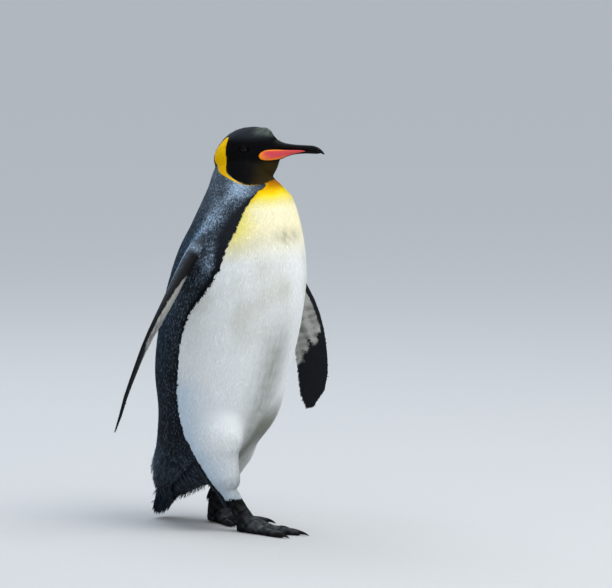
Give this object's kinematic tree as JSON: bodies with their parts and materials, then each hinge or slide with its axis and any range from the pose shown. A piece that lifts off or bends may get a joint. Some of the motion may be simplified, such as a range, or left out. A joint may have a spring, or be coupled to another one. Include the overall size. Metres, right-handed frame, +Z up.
{
  "type": "king penguin",
  "caption": "Life-size standing king penguin in mid stride, head turned to its left and flippers held out from its sides, as a still museum-style model.",
  "frame": {"origin": "on the floor, under the middle of the bird's bounding box", "axes": "+Z up; the bird's body faces -Y and its own left side is +X"},
  "size_m": [0.6326, 0.4192, 0.847],
  "materials": {
    "dark_feathers": "short dense feathers, black with a faint sheen",
    "back_feathers": "short dense feathers, blue-grey back and white belly with a yellow upper breast",
    "white_feathers": "short dense feathers, white",
    "horn": "smooth dark horn",
    "bill_plate": "smooth coral-pink horn plate",
    "foot_skin": "scaly dark skin",
    "eye": "wet dark brown eye"
  },
  "bodies": {
    "root": {"head": "dark_feathers", "neck": "back_feathers", "trunk": "back_feathers", "tail": "dark_feathers", "leg_left": "white_feathers", "leg_right": "white_feathers", "flipper_left": "dark_feathers", "flipper_right": "dark_feathers", "foot_left": "foot_skin", "foot_right": "foot_skin", "bill_upper": "horn", "bill_lower": "horn", "bill_plate_left": "bill_plate", "bill_plate_right": "bill_plate", "eye_left": "eye", "eye_right": "eye", "claw_left_inner": "horn", "claw_left_middle": "horn", "claw_left_outer": "horn", "claw_right_inner": "horn", "claw_right_middle": "horn", "claw_right_outer": "horn"}
  },
  "joints": []
}
